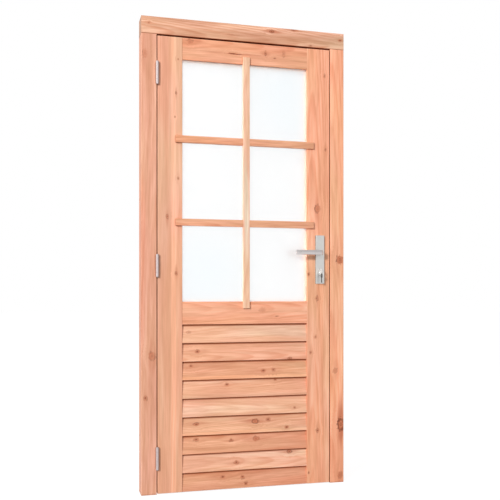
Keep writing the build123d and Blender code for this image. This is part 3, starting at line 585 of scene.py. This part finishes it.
def brushed_metal(name, colour, brushed_along, roughness, wear, flank_shade=1.0):
    """Metal with fine brush lines along one axis, soft smudges, edges paled by wear and shaded flanks."""
    graph = new_material(name)
    place, coordinates = graph.place()
    lines = [
        graph.math("MULTIPLY", value, BRUSH_STRETCH if letter == brushed_along else 1.0)
        for letter, value in zip("XYZ", coordinates)
    ]
    brush = graph.noise(graph.vector(*lines), BRUSH_NOISE)
    smudge = graph.noise(place, SMUDGE_NOISE)
    geometry = graph.node("ShaderNodeNewGeometry")
    edge = graph.fade(geometry.outputs["Pointiness"], *METAL_EDGE_POINTINESS)
    flank = graph.fade(graph.facing(X), *METAL_FLANK_FACING, 1.0, flank_shade)
    tone = graph.math("MULTIPLY", graph.about(brush, BRUSH_SPREAD), graph.about(smudge, SMUDGE_SPREAD))
    tone = graph.math("MULTIPLY", tone, graph.math("MULTIPLY_ADD", edge, wear, flank))
    brushed = graph.about(brush, BRUSH_ROUGHNESS, roughness)
    return graph.finish(graph.principled(
        Base_Color=graph.scaled(colour, tone),
        Metallic=1.0,
        Roughness=graph.math("ADD", brushed, graph.about(smudge, SMUDGE_ROUGHNESS, 0.0)),
        Normal=graph.bump(brush, *BRUSH_BUMP),
    ))


def blue_patches(graph, x, z):
    """How blue the glass is here: a breath of it high on the lock side and low on the hinge side."""
    patches = 0.0
    for patch in BLUE_PATCHES:
        away = graph.length(graph.math("SUBTRACT", x, patch.x), graph.math("SUBTRACT", z, patch.z))
        patches = graph.math("ADD", graph.fade(away, 0.0, patch.reach, 1.0, 0.0), patches)
    return patches


def glass_material():
    """Satin glass with a breath of blue and a little dust, which lets the lamp's light through."""
    graph = new_material("satin_glass")
    place, (x, _, z) = graph.place()
    dust = graph.noise(place, DUST_NOISE)
    cloud = graph.noise(place, CLOUD_NOISE)
    blue = graph.math("MULTIPLY_ADD", cloud, CLOUD_SHARE, blue_patches(graph, x, z))
    satin = graph.principled(
        Base_Color=graph.mix(blue, WHITE, GLASS_BLUE),
        Roughness=graph.fade(dust, *DUST_STEP, GLASS_ROUGHNESS, GLASS_ROUGHNESS + DUST_ROUGHNESS),
        IOR=GLASS_IOR,
        Transmission_Weight=1.0,
    )
    both = graph.node("ShaderNodeMixShader")
    graph.feed(both.inputs[0], graph.node("ShaderNodeLightPath").outputs["Is Shadow Ray"])
    graph.feed(both.inputs[1], satin)
    graph.feed(both.inputs[2], graph.node("ShaderNodeBsdfTransparent").outputs[0])
    return graph.finish(both.outputs[0])


def moulded_material(name, colour, roughness):
    """Rubber or plastic with a mottled skin and faint scuffs."""
    graph = new_material(name)
    place, _ = graph.place()
    mottle = graph.noise(place, MOTTLE_NOISE)
    scuff = graph.fade(graph.noise(place, SCUFF_NOISE), *SCUFF_STEP, 1.0, SCUFF_GAIN)
    tone = graph.math("MULTIPLY", graph.about(mottle, MOTTLE_SPREAD), scuff)
    return graph.finish(graph.principled(
        Base_Color=graph.scaled(colour, tone),
        Roughness=graph.about(mottle, MOTTLE_ROUGHNESS, roughness),
        Normal=graph.bump(mottle, *MOTTLE_BUMP),
    ))


def dress(names, material):
    """Puts one material on every slot of these pieces."""
    for name in names:
        for place in nodes[name].material_slots:
            place.material = material


def dress_timber(members):
    """Members beside the gap round the leaf get painted shade in it, and the head gets a painted shadow
    along its lower edge too.
    """
    _, (_, _, rail_top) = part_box("top_rail")
    for name, wood in members.items():
        # The head gets a painted shadow along its lower edge, just above the gap.
        head_shadow_edge = rail_top + HEAD_GAP if name == "frame_head" else None
        material = timber_material("fir_" + name, name, wood, gaps=name in BESIDE_THE_GAP, shadow_above=head_shadow_edge)
        dress([name], material)


def dress_boards():
    """Each board gets a painted shadow where the lip above it overhangs it."""
    above = "middle_rail"
    for name, wood in BOARD_TIMBER.items():
        (_, _, lip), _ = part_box(above)
        dress([name], timber_material("fir_" + name, name, wood, shadow_below=lip))
        above = name


dress_timber(FRAME_TIMBER)
dress_timber(LEAF_TIMBER)
dress_timber(BAR_TIMBER)
dress_boards()

aluminium = brushed_metal(
    "satin_aluminium", srgb(212, 211, 208), "Z", roughness=0.42, wear=0.08, flank_shade=0.30
)
lever_aluminium = brushed_metal(
    "satin_aluminium_lever", srgb(204, 198, 197), "X", roughness=0.30, wear=0.08
)
nickel = brushed_metal("nickel", srgb(226, 224, 221), "Y", roughness=0.28, wear=0.08)
# Painted shade: the spare key's steel is dark to stand for the shade it hangs in.
painted_shade_steel = brushed_metal("painted_shade_steel", srgb(70, 68, 66), "Z", roughness=0.40, wear=0.30)
zinc = brushed_metal("zinc_steel", srgb(188, 177, 176), "Z", roughness=0.62, wear=0.08)
lock_steel = brushed_metal("lock_steel", srgb(176, 176, 174), "Z", roughness=0.34, wear=0.12)
block_plastic = moulded_material("block_plastic", srgb(70, 74, 78), roughness=0.5)
seal_rubber = moulded_material("seal_rubber", srgb(78, 42, 22), roughness=0.7)

hinge_timber = ("hinge_jamb", "hinge_stile")
hinge_nodes = [name for name in nodes if name.startswith("hinge_") and name not in hinge_timber]
lock_nodes = [
    "strike_plate", "lock_case", "lock_forend", "cylinder_screw", "handle_bolts", "spindle", "follower",
    "latch", "deadbolt",
]
dress(["outside_plate", "inside_plate"], aluminium)
dress(["outside_lever", "inside_lever"], lever_aluminium)
dress(["cylinder_body", "inside_plug", "cylinder_plug", "key", "key_ring"], nickel)
# The spare key gets the steel darkened as painted shade.
dress(["spare_key"], painted_shade_steel)
dress(hinge_nodes + ["jamb_screws", "leaf_screws", "frame_corner_screws"], zinc)
dress(lock_nodes, lock_steel)
dress(["glass"], glass_material())
dress(["glazing_blocks"], block_plastic)
dress(["weather_seal"], seal_rubber)


# Floor, white surround, lamp and camera

FLOOR_SIZE = 60.0
FLOOR_GLOW = 0.86
FLOOR_GREY = srgb(130, 130, 130)
FLOOR_NOISE, FLOOR_SPREAD = Noise(30.0), 0.01
SKY_LIGHT = 0.66
SKY_SHINE = 0.80
SKY_SEEN = 1.0
KEY_PLACE = (-6.3, -6.9, 4.2)
KEY_AIM = (0.0, 0.0, 1.2)
KEY_SIZE = 1.4
KEY_POWER = 675.0
CAMERA_PLACE = (-0.8736, -3.4088, 0.9221)
CAMERA_LEVEL = 90
CAMERA_YAW = 14.76
CAMERA_SENSOR = 36.0
CAMERA_LENS = 53.82
CAMERA_SHIFT = 0.0832


def seen_directly(graph):
    """1 for what the camera sees itself, in a reflection or through glass, and 0 for light that bounces."""
    path = graph.node("ShaderNodeLightPath")
    seen = graph.math("ADD", path.outputs["Is Camera Ray"], path.outputs["Is Glossy Ray"])
    return graph.math("ADD", seen, path.outputs["Is Transmission Ray"], clamp=True)


def floor():
    """A white floor that shows the door's shadow."""
    graph = new_material("white_floor")
    place, _ = graph.place()
    grain = graph.about(graph.noise(place, FLOOR_NOISE), FLOOR_SPREAD)
    glow = graph.node("ShaderNodeEmission")
    graph.feed(glow.inputs["Color"], WHITE)
    graph.feed(glow.inputs["Strength"], graph.math("MULTIPLY", seen_directly(graph), FLOOR_GLOW))
    matt = graph.node("ShaderNodeBsdfDiffuse")
    graph.feed(matt.inputs["Color"], graph.scaled(FLOOR_GREY, grain))
    both = graph.node("ShaderNodeAddShader")
    graph.feed(both.inputs[0], glow.outputs[0])
    graph.feed(both.inputs[1], matt.outputs[0])
    bpy.ops.mesh.primitive_plane_add(size=FLOOR_SIZE)
    plane = bpy.context.object
    plane.name = "floor"
    plane.data.materials.append(graph.finish(both.outputs[0]))


def surround():
    """A white sky for the camera, with levels of its own for the light on the door and for shine."""
    graph = Graph(bpy.data.worlds.new("surround"))
    path = graph.node("ShaderNodeLightPath")
    strength = SKY_LIGHT
    for ray, level in (
        ("Is Glossy Ray", SKY_SHINE), ("Is Transmission Ray", SKY_SEEN), ("Is Camera Ray", SKY_SEEN)
    ):
        choice = graph.node("ShaderNodeMix")
        for key, value in (("Factor", path.outputs[ray]), ("A", strength), ("B", level)):
            graph.feed(choice.inputs[key], value)
        strength = choice.outputs["Result"]
    sky = graph.node("ShaderNodeBackground")
    graph.feed(sky.inputs["Color"], WHITE)
    graph.feed(sky.inputs["Strength"], strength)
    out = graph.node("ShaderNodeOutputWorld")
    graph.feed(out.inputs["Surface"], sky.outputs[0])
    bpy.context.scene.world = graph.owner


def lamp(name, place, aim, size, power):
    """A square soft lamp that looks at a place."""
    light = bpy.data.lights.new(name, "AREA")
    light.size, light.energy = size, power
    holder = bpy.data.objects.new(name, light)
    holder.location = place
    holder.rotation_euler = (Vector(aim) - Vector(place)).to_track_quat("-Z", "Y").to_euler()
    bpy.context.scene.collection.objects.link(holder)


def camera():
    """A level camera left of the door that looks a little to the right."""
    data = bpy.data.cameras.new("camera")
    data.sensor_width = CAMERA_SENSOR
    data.lens = CAMERA_LENS
    data.shift_y = CAMERA_SHIFT
    holder = bpy.data.objects.new("camera", data)
    holder.location = CAMERA_PLACE
    holder.rotation_euler = (math.radians(CAMERA_LEVEL), 0, math.radians(-CAMERA_YAW))
    bpy.context.scene.collection.objects.link(holder)
    bpy.context.scene.camera = holder


floor()
surround()
lamp("key", KEY_PLACE, KEY_AIM, KEY_SIZE, KEY_POWER)
camera()
bpy.context.scene.view_settings.view_transform = "Standard"
